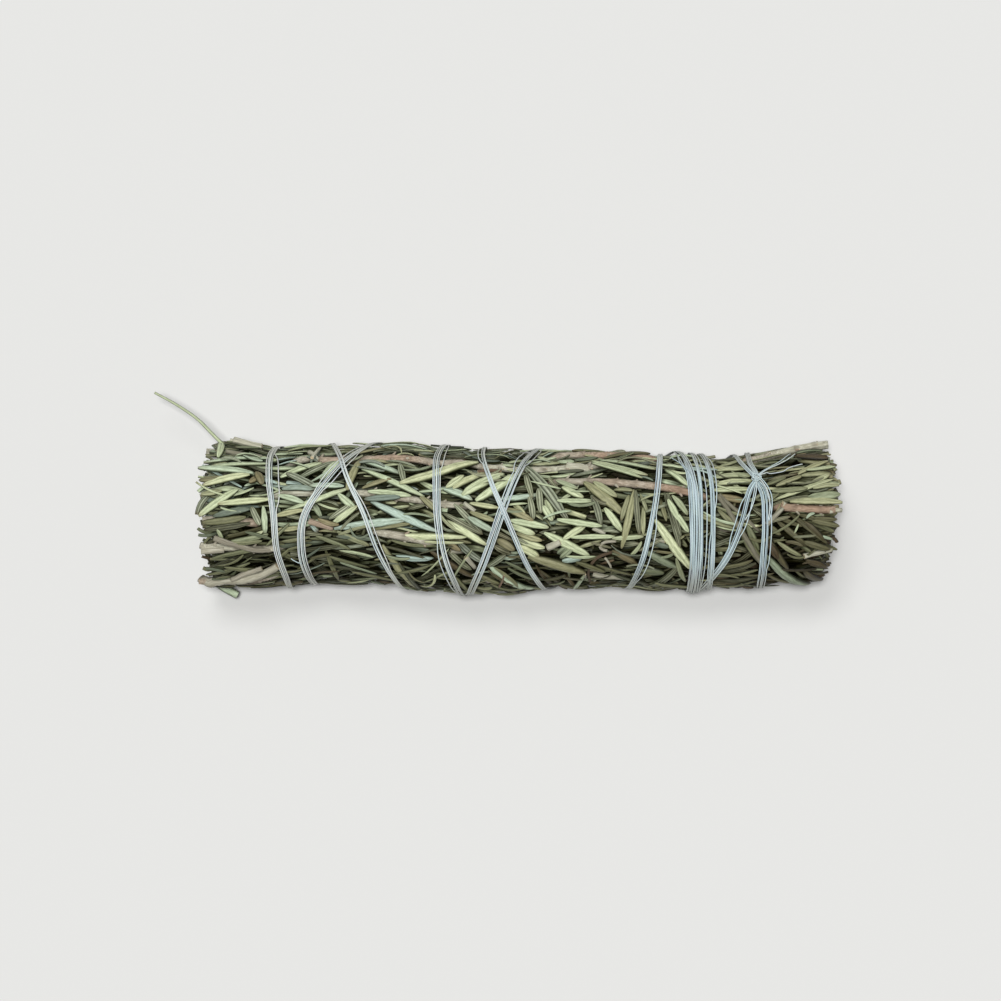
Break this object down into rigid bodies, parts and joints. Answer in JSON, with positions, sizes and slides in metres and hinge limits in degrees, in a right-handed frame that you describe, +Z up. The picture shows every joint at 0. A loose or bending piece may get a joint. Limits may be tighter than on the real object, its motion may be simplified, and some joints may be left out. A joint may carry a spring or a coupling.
{
  "type": "rosemary smudge stick",
  "caption": "Dried rosemary stems with their needle leaves, laid side by side, trimmed at both ends and bound into a stick with one wound and knotted cotton thread.",
  "frame": {"origin": "on the resting surface, under the middle of the stick, on the flat underside of the lowest stem", "axes": "+X along the stick towards its knotted end, +Z up from the resting surface, +Y across it"},
  "size_m": [0.1926, 0.0572, 0.0399],
  "materials": {
    "outer_rosemary": "dry matt leaf, grey-green to olive, with brown woody stem",
    "inner_rosemary": "dry matt leaf in shade, dark olive",
    "cotton_thread": "soft untwisted cotton strands, pale grey-blue"
  },
  "bodies": {
    "root": {"outer_sprig_01": "outer_rosemary", "outer_sprig_02": "outer_rosemary", "outer_sprig_03": "outer_rosemary", "outer_sprig_04": "outer_rosemary", "outer_sprig_05": "outer_rosemary", "outer_sprig_06": "outer_rosemary", "outer_sprig_07": "outer_rosemary", "outer_sprig_08": "outer_rosemary", "outer_sprig_09": "outer_rosemary", "outer_sprig_10": "outer_rosemary", "outer_sprig_11": "outer_rosemary", "outer_sprig_12": "outer_rosemary", "inner_sprig_01": "inner_rosemary", "inner_sprig_02": "inner_rosemary", "inner_sprig_03": "inner_rosemary", "inner_sprig_04": "inner_rosemary", "inner_sprig_05": "inner_rosemary", "heart_sprig": "inner_rosemary", "binding_thread": "cotton_thread"}
  },
  "joints": []
}
